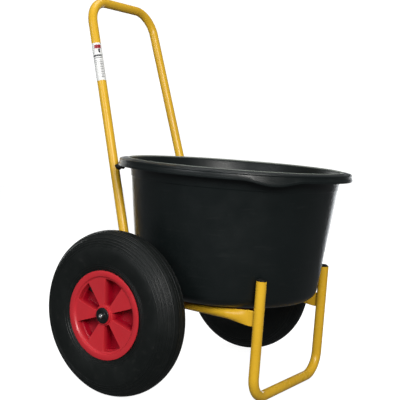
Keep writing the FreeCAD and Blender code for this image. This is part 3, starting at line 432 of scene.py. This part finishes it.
outside = [(floor_middle, foot_height), (floor_ring, foot_height), (foot_inner, foot_height),
           (foot_inner, 0), (foot_outer, 0), (foot_outer, foot_height), (tub_base, foot_height)]
inside = [(radius - wall, height) for radius, height in reversed(wall_rings)]
inside += [(tub_base - wall, tub_floor), (floor_ring, tub_floor), (floor_middle, tub_floor)]
tub_piece = turned("builders_tub", 240,
                   outside + wall_rings + ledge + skirt + rim + ledge_inside + inside)
bpy.ops.mesh.merge(type="CENTER")
pick("verts", lambda v: abs(v.co.xy.length - floor_middle) < 1e-5
     and v.co.z < foot_height + 0.0007)
bpy.ops.mesh.edge_face_add()
bpy.ops.mesh.poke()
close_shell()
round_rings(foot_round, 9, (tub_base, foot_height))
round_rings(floor_round, 8, (tub_base - wall, tub_floor))
round_rings(0.0032, 4, (rim_edge, tub_height - rim_edge_drop))
round_rings(0.0014, 3, (mouth + bead_in, tub_height))
round_rings(0.0006, 2, (mouth + bead_out, tub_height))
round_rings(0.0016, 2, (foot_inner, 0), (foot_outer, 0))
round_rings(0.0020, 3, (skirt_top_inner, rim_under), (under_radius, rim_under))
round_rings(0.0009, 2, (skirt_low_inner, skirt_low), (skirt_edge, skirt_low))
round_rings(0.0007, 2, *ledge)

# Each hand grip is a stretch of the skirt's lip that is pulled down into a crescent.
grip_turns = (math.radians(-130.5), math.radians(45.0))
grip_half = math.radians(14.5)
grip_drop = 0.0105
grip_step = math.radians(1.5)
for middle in grip_turns:
    for step in range(-12, 13):
        offset = step * grip_step / grip_half
        if abs(offset) >= 1:
            continue
        fall = grip_drop * (0.5 + 0.5 * math.cos(math.pi * offset)) ** 0.8
        spoke = Vector((math.cos(middle + step * grip_step), math.sin(middle + step * grip_step)))
        pick("verts", lambda v: v.co.z < skirt_low + lip_rise + 0.0015 and v.co.xy.length > 0.2980
             and v.co.xy.normalized().dot(spoke) > math.cos(0.4 * grip_step))
        bpy.ops.transform.translate(value=(0, 0, -fall))
tub_seat = Vector((0, -0.04011, 0.22862))
tub_turn = Euler((math.acos(up.z), 0, 0))
place_piece(tub_piece, tub_seat, tub_turn, 35)

tub_black = (0.0036, 0.0058, 0.0058)
tub_finish = new_finish("tub_plastic", 0.36)
tint(tub_finish, spread(tub_finish, grain(tub_finish, 5, 3), 0, 1),
     tub_black, (0.0050, 0.0074, 0.0076))
scuffs = spread(tub_finish, grain(tub_finish, 16, 4, (1, 1, 9)), 0, 0.5, 0.60, 0.78)
tint(tub_finish, scuffs, tub_black, (0.015, 0.017, 0.017))
gloss(tub_finish, spread(tub_finish, grain(tub_finish, 22, 5), 0.32, 0.42))
relief(tub_finish, grain(tub_finish, 1100, 1), 0.00008)
relief(tub_finish, grain(tub_finish, 14, 2), 0.0006)


def worked_out(finish, operation, first, second=None):
    """A number worked out from one or two others, each a socket or a constant."""
    node = finish.node_tree.nodes.new("ShaderNodeMath")
    node.operation = operation
    for slot, value in zip(node.inputs, (first, second)):
        if isinstance(value, bpy.types.NodeSocket):
            finish.node_tree.links.new(value, slot)
        elif value is not None:
            slot.default_value = value
    return node.outputs["Value"]


def own_axes(finish, origin, turn):
    """Coordinates in metres from an origin, along axes turned from the scene's."""
    nodes, links = finish.node_tree.nodes, finish.node_tree.links
    local = nodes.new("ShaderNodeMapping")
    local.vector_type = "TEXTURE"
    local.inputs["Location"].default_value = origin
    local.inputs["Rotation"].default_value = turn
    links.new(nodes["place"].outputs["Object"], local.inputs["Vector"])
    parts = nodes.new("ShaderNodeSeparateXYZ")
    links.new(local.outputs["Vector"], parts.inputs["Vector"])
    return parts.outputs


def round_axis(finish, origin, turn):
    """Distance from a piece's own axis, and height along it, in metres."""
    nodes, links = finish.node_tree.nodes, finish.node_tree.links
    own = own_axes(finish, origin, turn)
    flat = nodes.new("ShaderNodeCombineXYZ")
    links.new(own["X"], flat.inputs["X"])
    links.new(own["Y"], flat.inputs["Y"])
    radius = nodes.new("ShaderNodeVectorMath")
    radius.operation = "LENGTH"
    links.new(flat.outputs["Vector"], radius.inputs[0])
    return radius.outputs["Value"], own["Z"]


def near(finish, source, middle, half, soft=0.0002):
    """One where the source lies within a half width of the middle, zero away from it."""
    apart = worked_out(finish, "ABSOLUTE", worked_out(finish, "SUBTRACT", source, middle))
    return spread(finish, apart, 1, 0, half - soft, half + soft)


def both(finish, first, second):
    """One where both are one, zero where either is zero."""
    return worked_out(finish, "MULTIPLY", first, second)


# A pale band is painted round the bead at the mouth: a painted highlight for the light line the bead catches,
# broken up by noise.
tub_round, tub_level = round_axis(tub_finish, tub_seat, tub_turn)
painted_bead_highlight = both(tub_finish, near(tub_finish, tub_round, mouth + bead_in + 0.0010, 0.0030, 0.0008),
              near(tub_finish, tub_level, tub_height, 0.0030, 0.0008))
painted_bead_highlight = both(tub_finish, painted_bead_highlight, spread(tub_finish, grain(tub_finish, 9, 3), 0.55, 1))
# The pale grey of the painted highlight on the bead.
tint(tub_finish, painted_bead_highlight, tub_black, (0.230, 0.250, 0.220))
tub_piece.data.materials.append(tub_finish)
dress("tub", tub_finish)
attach(tub_piece, "tub")
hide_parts("tub")


# ---- Wheel rims -------------------------------------------------------------------------------
# One-piece moulded polypropylene rim, red. Its face is a disc with five deep pockets that leave
# five raised panels, set inside a flat flange. The pockets' outer wall has a step in it.

# Lengths along a wheel's axle are from its middle plane, positive on the outer side.
hub_bore = 0.0175
hub_edge = 0.0215
hub_back = -0.0340
pocket_in = 0.0250
pocket_out = 0.0870
web_face = 0.0360
web_back = 0.0020
flange = 0.0410
flange_edge, flange_inner = 0.1064, 0.0376
bead_seat, bead_seat_end = 0.1015, 0.0270
well, well_half = 0.0920, 0.0220
pocket_step, step_width, step_fall = 0.0130, 0.0032, 0.0006
pocket_floor = 0.0060
pocket_count = 5
pocket_pitch, pocket_half = math.radians(72), math.radians(18)
panel_hollow, hollow_half = 0.030, math.radians(14)
edge_round, sharp_edge = 0.0007, math.radians(32)
wheel_places = {j["child"]: Vector(j["pos_m"]) for j in frame["joints"] if j["type"] == "hinge"}
wheel_turns = {
    "wheel_left": (math.pi / 2, 0, -math.pi / 2),
    "wheel_right": (math.pi / 2, 0, math.pi / 2)}

rim_corners = [
    (hub_bore, flange), (hub_edge, flange), (hub_edge + 0.0003, web_face), (pocket_in, web_face),
    (pocket_out, web_face), (0.0900, web_face + 0.0004), (0.0930, flange - 0.0006),
    (0.0945, flange), (flange_edge, flange), (flange_edge, flange_inner),
    (bead_seat, flange_inner), (bead_seat, bead_seat_end), (well, well_half), (well, -well_half),
    (bead_seat, -bead_seat_end), (bead_seat, -flange_inner), (flange_edge, -flange_inner),
    (flange_edge, -flange), (0.0965, -flange), (0.0965, -bead_seat_end),
    (pocket_out, -well_half), (pocket_out, web_back), (pocket_in, web_back),
    (hub_edge + 0.0003, web_back), (hub_edge, hub_back), (hub_bore, hub_back), (hub_bore, flange)]


def near_ray(vert, middle, half, slack=0.004):
    """True for a corner that lies within an angle either side of the middle ray."""
    turned_by = math.atan2(vert.co.y, vert.co.x) - middle
    return abs((turned_by + math.pi) % (2 * math.pi) - math.pi) < half + slack


def in_patch(face, level, middle, half, slack=0.0002):
    """True for a face of the web at a level, between hub and flange and near the middle ray."""
    return all(
        pocket_in - slack < v.co.xy.length < pocket_out + slack
        and abs(v.co.z - level) < slack and near_ray(v, middle, half)
        for v in face.verts)


def push(distance):
    """Extrude what is selected along the axle."""
    bpy.ops.mesh.extrude_region_move(TRANSFORM_OT_translate={"value": (0, 0, distance)})


rim_piece = turned("rim_red_left", 180, rim_corners)
close_shell()
shelf = web_face - pocket_step - step_fall
narrow = (pocket_out - step_width) / pocket_out
for number in range(pocket_count):
    middle = number * pocket_pitch
    pick("faces", lambda f: in_patch(f, web_face, middle, pocket_half))
    push(-pocket_step)
    push(-step_fall)
    pick("verts", lambda v: abs(v.co.z - shelf) < 0.0001 and v.co.xy.length > pocket_out - 0.0005
         and near_ray(v, middle, pocket_half))
    bpy.ops.transform.resize(value=(narrow, narrow, 1), center_override=(0, 0, shelf))
    pick("faces", lambda f: in_patch(f, shelf, middle, pocket_half))
    push(pocket_floor - shelf)
    panel = middle + pocket_pitch / 2
    pick("faces", lambda f: in_patch(f, web_back, panel, hollow_half))
    push(panel_hollow)
pick("edges", lambda e: len(e.link_faces) == 2 and e.calc_face_angle(0) > sharp_edge)
bpy.ops.mesh.bevel(offset=edge_round, segments=2, affect="EDGES", clamp_overlap=True)
bpy.ops.object.mode_set(mode="OBJECT")

red = (0.535, 0.020, 0.029)
# A darker red, painted into the pockets as shade.
red_pocket_shade = (0.310, 0.0002, 0.011)
red_worn = (0.485, 0.021, 0.030)
rim_finish = new_finish("rim_plastic", 0.40)
tint(rim_finish, spread(rim_finish, grain(rim_finish, 14, 3), 0, 1), red, red_worn)
# Painted shade: the red is darkened deeper down in the pockets, by distance from the barrow's middle, standing in
# for the shade there.
pocket_shade_distance = worked_out(rim_finish, "ABSOLUTE", own_axes(rim_finish, (0, 0, 0), (0, 0, 0))["X"])
tint(rim_finish, spread(rim_finish, pocket_shade_distance, 1, 0, 0.330, 0.346), red, red_pocket_shade)
gloss(rim_finish, spread(rim_finish, grain(rim_finish, 40, 4), 0.28, 0.48))
relief(rim_finish, grain(rim_finish, 900, 1), 0.00005)
relief(rim_finish, grain(rim_finish, 45, 2), 0.0004)
rim_piece.data.materials.append(rim_finish)


def second_wheel(piece, name):
    """A copy of a finished left piece, with a mesh of its own, for the right wheel."""
    copy = piece.copy()
    copy.data = piece.data.copy()
    copy.name = name
    copy.data.name = name
    bpy.context.scene.collection.objects.link(copy)
    return copy


rim_right = second_wheel(rim_piece, "rim_red_right")
for piece, body in ((rim_piece, "wheel_left"), (rim_right, "wheel_right")):
    place_piece(piece, wheel_places[body], wheel_turns[body], 30)
    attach(piece, body)
    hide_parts("rim_" + body[6:])
dress("rim_left", rim_finish)
dress("rim_right", rim_finish)


# ---- Tyres ------------------------------------------------------------------------------------
# Pneumatic 400 mm tyre, moulded black rubber. Five grooves leave ribs round its tread, the side
# walls bulge, and raised lines circle them near the rim and at the shoulder.

bead_top = 0.1084
bead_half = 0.0370
widest = 0.1500
tyre_half = 0.0455
shoulder = 0.1870
shoulder_half = 0.0295
crown = 0.2000
crown_bow = 0.0520
tread_edge = 0.0210


def side_wall(radius):
    """Half width of the tyre at a radius: two arcs that meet where it is widest."""
    end, half = (bead_top, bead_half) if radius < widest else (shoulder, shoulder_half)
    rise, run = abs(end - widest), tyre_half - half
    bow = (rise ** 2 + run ** 2) / (2 * run)
    return tyre_half - bow + math.sqrt(bow ** 2 - (radius - widest) ** 2)


def raised_line(radius, width, height):
    """A line that stands up from the side wall, with sloping flanks."""
    inner, outer = radius - width / 2, radius + width / 2
    return [(inner - height, side_wall(inner - height)), (inner, side_wall(inner) + height),
            (outer, side_wall(outer) + height), (outer + height, side_wall(outer + height))]


def crown_radius(across):
    """Radius of the tread at a distance from its middle: an arc that is 200 mm at the middle."""
    return crown - crown_bow + math.sqrt(crown_bow ** 2 - across ** 2)


tyre_side = [(0.1018, 0.0330), (0.1018, 0.0366), (0.1060, 0.0370), (bead_top, bead_half)]
for line in ((0.1120, 0.0016, 0.0008), (0.1170, 0.0020, 0.0009), (0.1222, 0.0008, 0.0005)):
    tyre_side += raised_line(*line)
for radius in (0.126, 0.131, 0.137, 0.143, 0.150, 0.156, 0.161):
    tyre_side.append((radius, side_wall(radius)))
for line in ((0.1650, 0.0010, 0.0006), (0.1715, 0.0014, 0.0008), (0.1775, 0.0020, 0.0010),
             (0.1835, 0.0022, 0.0010)):
    tyre_side += raised_line(*line)
tyre_side += [(shoulder, shoulder_half), (0.1900, 0.0270), (0.1902, 0.0258), (0.1922, 0.0250)]
groove_half, groove_deep = 0.0012, 0.0022
groove_foot = 0.7 * groove_half
tread = [(crown_radius(tread_edge) - 0.0010, tread_edge + 0.0008), (crown_radius(0.0205), 0.0205)]
for across in (0.0170, 0.0085):
    for edge, depth in ((groove_half, 0), (groove_foot, groove_deep),
                        (-groove_foot, groove_deep), (-groove_half, 0)):
        tread.append((crown_radius(across + edge) - depth, across + edge))
    tread.append((crown_radius(across - 0.0042), across - 0.0042))
tread += [(crown, groove_half), (crown - groove_deep, groove_foot)]
outer_half = tyre_side + tread
tyre_corners = outer_half + [(radius, -across) for radius, across in reversed(outer_half)]
tyre_corners += [(0.1090, -0.0280), (0.1090, 0.0280), outer_half[0]]
tyre_piece = turned("tyre_black_left", 176, tyre_corners)
close_shell()
bpy.ops.object.mode_set(mode="OBJECT")

rubber_black = (0.0042, 0.0056, 0.0052)
tyre_finish = new_finish("tyre_rubber", 0.24)
tint(tyre_finish, spread(tyre_finish, grain(tyre_finish, 11, 4), 0, 1),
     rubber_black, (0.0070, 0.0085, 0.0080))
dust = spread(tyre_finish, grain(tyre_finish, 70, 5), 0, 0.5, 0.58, 0.8)
tint(tyre_finish, dust, rubber_black, (0.022, 0.022, 0.020))
gloss(tyre_finish, spread(tyre_finish, grain(tyre_finish, 30, 4), 0.36, 0.56))
relief(tyre_finish, grain(tyre_finish, 1500, 1), 0.00005)
relief(tyre_finish, grain(tyre_finish, 90, 3), 0.0002)

# Fine rings from the mould circle the axle, and grow stronger from the side wall to the shoulder.
ring_pitch = 0.0030
tyre_round = round_axis(tyre_finish, axle_middle, (0, math.pi / 2, 0))[0]
rings = worked_out(
    tyre_finish, "SINE", worked_out(tyre_finish, "MULTIPLY", tyre_round, 2 * math.pi / ring_pitch))
rings = both(tyre_finish, rings, spread(tyre_finish, tyre_round, 0, 1, 0.158, 0.176))
relief(tyre_finish, rings, 0.00025)
tyre_piece.data.materials.append(tyre_finish)
tyre_right = second_wheel(tyre_piece, "tyre_black_right")
for piece, body in ((tyre_piece, "wheel_left"), (tyre_right, "wheel_right")):
    place_piece(piece, wheel_places[body], wheel_turns[body], 28)
    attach(piece, body)
    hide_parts("tyre_" + body[6:])
for name in ("tyre_left", "tyre_right", "inner_tube_left", "inner_tube_right"):
    dress(name, tyre_finish)


# ---- Valves -----------------------------------------------------------------------------------
# Each air tube has a moulded rubber stem that comes through the barrel into one pocket of the
# rim, with a ribbed black dust cap screwed on its tip.

stem_corners = [
    (0.0020, 0.0145), (0.0056, 0.0145), (0.0056, 0.0020), (0.0052, 0.0010), (0.0052, 0.0),
    (0.0056, -0.0010), (0.0056, -0.0075), (0.0052, -0.0086), (0.0042, -0.0110), (0.0039, -0.0150),
    (0.0041, -0.0153), (0.0041, -0.0160), (0.0037, -0.0163), (0.0032, -0.0205), (0.0020, -0.0208)]
cap_corners = [
    (0.0020, -0.0211), (0.0043, -0.0211), (0.0046, -0.0214), (0.0046, -0.0225), (0.0044, -0.0227),
    (0.0044, -0.0282), (0.0042, -0.0288), (0.0031, -0.0300), (0.0018, -0.0300)]
cap_ribs = 18
valve_turn = math.radians(140)
valve_out = 0.0130
valve_seat = Vector(
    (pocket_out * math.cos(valve_turn), pocket_out * math.sin(valve_turn), valve_out))


def close_ends(corners):
    """Cap both ends of an open turned shell, the last one being still selected."""
    bpy.ops.mesh.edge_face_add()
    pick("edges", lambda e: on_ring(e, *corners[0]))
    bpy.ops.mesh.edge_face_add()
    close_shell()


for name, corners in (("stem", stem_corners), ("cap", cap_corners)):
    left_piece = turned(f"valve_{name}_black_left", 2 * cap_ribs, corners)
    close_ends(corners)
    if name == "cap":
        pick("verts", lambda v: -0.0285 < v.co.z < -0.0226 and v.co.xy.length > 0.0035
             and round(math.degrees(math.atan2(v.co.y, v.co.x)) / 10) % 2 == 0)
        bpy.ops.transform.resize(value=(0.9, 0.9, 1), center_override=(0, 0, 0))
    place_piece(left_piece, (0, 0, 0), (0, math.pi / 2, 0), 30)
    place_piece(left_piece, valve_seat, (0, 0, valve_turn), 30)
    left_piece.data.materials.append(tyre_finish)
    right_piece = second_wheel(left_piece, f"valve_{name}_black_right")
    for piece, body in ((left_piece, "wheel_left"), (right_piece, "wheel_right")):
        place_piece(piece, wheel_places[body], wheel_turns[body], 30)
        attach(piece, body)
        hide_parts(f"valve_{name}_{body[6:]}")
        dress(f"valve_{name}_{body[6:]}", tyre_finish)


# ---- Axle and wheel fastenings ----------------------------------------------------------------
# A drawn steel bar runs across under the tub. Each wheel turns on rollers between a collar and a
# domed black cap washer, which a zinc-plated socket screw in the end of the bar holds on.

zinc = (0.80, 0.80, 0.79)
zinc_finish = new_finish("axle_steel", 0.5, 1.0)
tint(zinc_finish, spread(zinc_finish, grain(zinc_finish, 60, 4), 0, 1), zinc, (0.66, 0.67, 0.68))
gloss(zinc_finish, spread(zinc_finish, grain(zinc_finish, 500, 2, (0.15, 1, 1)), 0.24, 0.46))
relief(zinc_finish, grain(zinc_finish, 900, 2, (0.1, 1, 1)), 0.00006)
dress("axle_bar", zinc_finish)
cap_black = (0.0045, 0.0052, 0.0052)
cap_finish = new_finish("cap_plastic", 0.3)
tint(cap_finish, spread(cap_finish, grain(cap_finish, 60, 3), 0, 1),
     cap_black, (0.0080, 0.0085, 0.0085))
gloss(cap_finish, spread(cap_finish, grain(cap_finish, 120, 3), 0.3, 0.5))
relief(cap_finish, grain(cap_finish, 1400, 1), 0.00006)
cream = (0.66, 0.62, 0.52)
cage_finish = new_finish("cage_plastic", 0.4)
tint(cage_finish, spread(cage_finish, grain(cage_finish, 80, 3), 0, 1),
     cream, (0.56, 0.52, 0.42))
gloss(cage_finish, spread(cage_finish, grain(cage_finish, 160, 3), 0.4, 0.6))
relief(cage_finish, grain(cage_finish, 1200, 1), 0.00005)
washer_corners = [
    (0.0033, 0.0415), (0.0184, 0.0415), (0.0190, 0.0420), (0.0190, 0.0430), (0.0184, 0.0437),
    (0.0166, 0.0443), (0.0140, 0.0445), (0.0118, 0.0445), (0.0113, 0.0440), (0.0104, 0.0440),
    (0.0099, 0.0445), (0.0033, 0.0445), (0.0033, 0.0415)]
bolt_end = 0.0505
bolt_corners = [
    (0.0024, 0.0225), (0.0030, 0.0232), (0.0030, 0.0445), (0.0047, 0.0445), (0.0050, 0.0449),
    (0.0050, bolt_end - 0.0007), (0.0043, bolt_end)]
socket_flats, socket_depth = 0.0050, 0.0030
socket_radius = socket_flats / 2 / math.cos(math.pi / 6)
for side in ("left", "right"):
    body = "wheel_" + side
    washer = turned("cap_washer_black_" + side, 72, washer_corners)
    close_shell()
    washer.data.materials.append(cap_finish)
    place_piece(washer, wheel_places[body], wheel_turns[body], 30)
    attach(washer, "frame")
    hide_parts("cap_washer_" + side)

    bolt = turned("end_bolt_zinc_" + side, 48, bolt_corners)
    close_ends(bolt_corners)
    bpy.ops.object.mode_set(mode="OBJECT")
    bpy.ops.mesh.primitive_cylinder_add(
        vertices=6, radius=socket_radius, depth=2 * socket_depth, location=(0, 0, bolt_end))
    socket = bpy.context.object
    socket.name = "bolt_socket_cutter"
    bpy.context.view_layer.objects.active = bolt
    cut = bolt.modifiers.new("socket", "BOOLEAN")
    cut.operation = "DIFFERENCE"
    cut.object = socket
    cut.solver = "EXACT"
    bpy.ops.object.modifier_apply(modifier=cut.name)
    bpy.data.objects.remove(socket)
    bolt.data.materials.append(zinc_finish)
    place_piece(bolt, wheel_places[body], wheel_turns[body], 30)
    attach(bolt, "frame")
    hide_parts("end_bolt_" + side)

    dress("axle_collar_" + side, zinc_finish)
    dress("thrust_washer_" + side, zinc_finish)
    dress("cap_washer_" + side, cap_finish)
    dress("end_bolt_" + side, zinc_finish)
    dress("hub_sleeve_" + side, zinc_finish)
    for end in ("inner", "outer"):
        dress(f"rollers_{end}_{side}", zinc_finish)
        dress(f"cage_{end}_{side}", cage_finish)


# ---- Foot plugs -------------------------------------------------------------------------------
# Thin domed plugs moulded in black polyethylene, one for the open top of each upright of the
# foot. Their stems are pressed into the tube and hold by friction.

plug_corners = [
    (0.0020, -0.0180), (0.0095, -0.0180), (0.0103, -0.0170), (0.0103, 0.0), (0.0122, 0.0),
    (0.0125, 0.0003), (0.0125, 0.0009), (0.0122, 0.0012), (0.0115, 0.0013), (0.0108, 0.0022),
    (0.0096, 0.0034), (0.0080, 0.0046), (0.0060, 0.0055), (0.0040, 0.0060), (0.0020, 0.0062)]
foot_half, foot_reach, foot_top = 0.16645, 0.3157, 0.1138
for side in ("left", "right"):
    hand = -1 if side == "left" else 1
    plug = turned("foot_plug_black_" + side, 64, plug_corners)
    bpy.ops.mesh.edge_face_add()
    bpy.ops.mesh.poke()
    pick("edges", lambda e: on_ring(e, *plug_corners[0]))
    bpy.ops.mesh.edge_face_add()
    close_shell()
    plug.data.materials.append(cap_finish)
    place_piece(plug, on_frame(hand * foot_half, foot_reach, foot_top), tub_turn, 30)
    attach(plug, "frame")
    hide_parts("foot_plug_" + side)
    dress("foot_plug_" + side, cap_finish)


# ---- Rim pegs ---------------------------------------------------------------------------------
# A short steel peg is welded to the front of each handle leg under the tub's rim, with a black
# vinyl cap pulled over it, so that the tub cannot tip back.

tube_half = 0.0125
tub_gap, peg_gap = 0.0003, 0.0012
peg_half, peg_cap_wall = 0.0040, 0.0020
peg_rise = tube_half + tub_gap + skirt_low - peg_gap - peg_half - peg_cap_wall
# The cap's foot flares wider and deeper round the leg than the cap needs: partly the cap itself, partly a black
# patch standing in for the shadow the tub's rim casts on the leg.
saddle_wide, saddle_wider, saddle_deep = 1.18, 1.22, 1.5
saddle_corners = [
    (0.0020, 0.0330), (0.0048, 0.0330), (0.0056, 0.0327), (0.0060, 0.0320), (0.0060, 0.0240),
    (0.0062, 0.0200), (0.0060, 0.0160), (0.0060, 0.0130), (0.0060, 0.0080), (0.0060, 0.0040),
    (0.0042, 0.0040), (0.0041, 0.0306), (0.0020, 0.0306)]
for side in ("left", "right"):
    hand = -1 if side == "left" else 1
    cap = turned("peg_cap_black_" + side, 40, saddle_corners)
    close_ends(saddle_corners)
    pick("verts", lambda v: v.co.z < 0.0205)
    bpy.ops.transform.resize(value=(saddle_wide, 1, 1), center_override=(0, 0, 0))
    pick("verts", lambda v: v.co.z < 0.0165)
    bpy.ops.transform.resize(value=(saddle_wider, 1, 1), center_override=(0, 0, 0))
    pick("verts", lambda v: v.co.z < 0.0205 and v.co.y < -0.0005)
    bpy.ops.transform.resize(value=(1, saddle_deep, 1), center_override=(0, 0, 0))
    cap.data.materials.append(cap_finish)
    peg_place = on_leg(hand, peg_rise / math.cos(leg_angle))
    place_piece(cap, peg_place, forward.to_track_quat("Z", "Y").to_euler(), 35)
    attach(cap, "frame")
    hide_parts("peg_cap_" + side)
    dress("rim_peg_" + side, paint)
    dress("peg_cap_" + side, cap_finish)


# ---- Label ------------------------------------------------------------------------------------
# White vinyl film wrapped round the left leg, printed with a plain red block, a few grey bars and
# rows of short bars. Its print is on the side away from the tub.

label_white = (0.80, 0.80, 0.78)
label_red = (0.30, 0.012, 0.025)
label_dark = (0.045, 0.045, 0.05)
label_grey = (0.16, 0.16, 0.17)
label_mid_grey = (0.20, 0.20, 0.21)
label_pale_grey = (0.32, 0.32, 0.33)
label_radius = 0.0128
# Its two ends, on the leg's middle line.
label_low = Vector((-0.1423, 0.2845, 0.7685))
label_high = Vector((-0.1373, 0.3116, 0.8689))
label_up = (label_high - label_low).normalized()
label_side = Vector((0.50, -0.87, 0)).cross(label_up).cross(label_up).normalized() * -1
label_axes = Matrix((label_side, label_up.cross(label_side), label_up)).transposed()
label_finish = new_finish("label_film", 0.5)
label_own = own_axes(label_finish, label_low, label_axes.to_euler())
label_turn = worked_out(label_finish, "ARCTAN2", label_own["X"],
                        worked_out(label_finish, "MULTIPLY", label_own["Y"], -1))
label_round = worked_out(label_finish, "MULTIPLY", label_turn, label_radius)


def printed(across, along, width, height, colour):
    """A printed bar: its middle in metres round the leg and up it, its size and its colour."""
    inside = both(label_finish, near(label_finish, label_round, across, width / 2),
                  near(label_finish, label_own["Z"], along, height / 2))
    tint(label_finish, inside, label_white, colour)


printed(0.0050, 0.0950, 0.0180, 0.0100, label_red)
printed(0.0075, 0.0835, 0.0050, 0.0100, label_dark)
printed(0.0015, 0.0705, 0.0240, 0.0042, label_dark)
printed(0.0015, 0.0645, 0.0240, 0.0018, label_grey)
top_row, row_pitch = 0.0570, 0.0046
for row in range(11):
    row_width = 0.0085 if row % 3 else 0.0060
    printed(0.0085, top_row - row_pitch * row, row_width, 0.0020, label_mid_grey)
for row in range(3):
    printed(-0.0050, top_row - row_pitch * row, 0.0060, 0.0016, label_pale_grey)
relief(label_finish, grain(label_finish, 300, 2), 0.00006)
gloss(label_finish, spread(label_finish, grain(label_finish, 80, 3), 0.22, 0.38))
dress("label_wrap", label_finish)
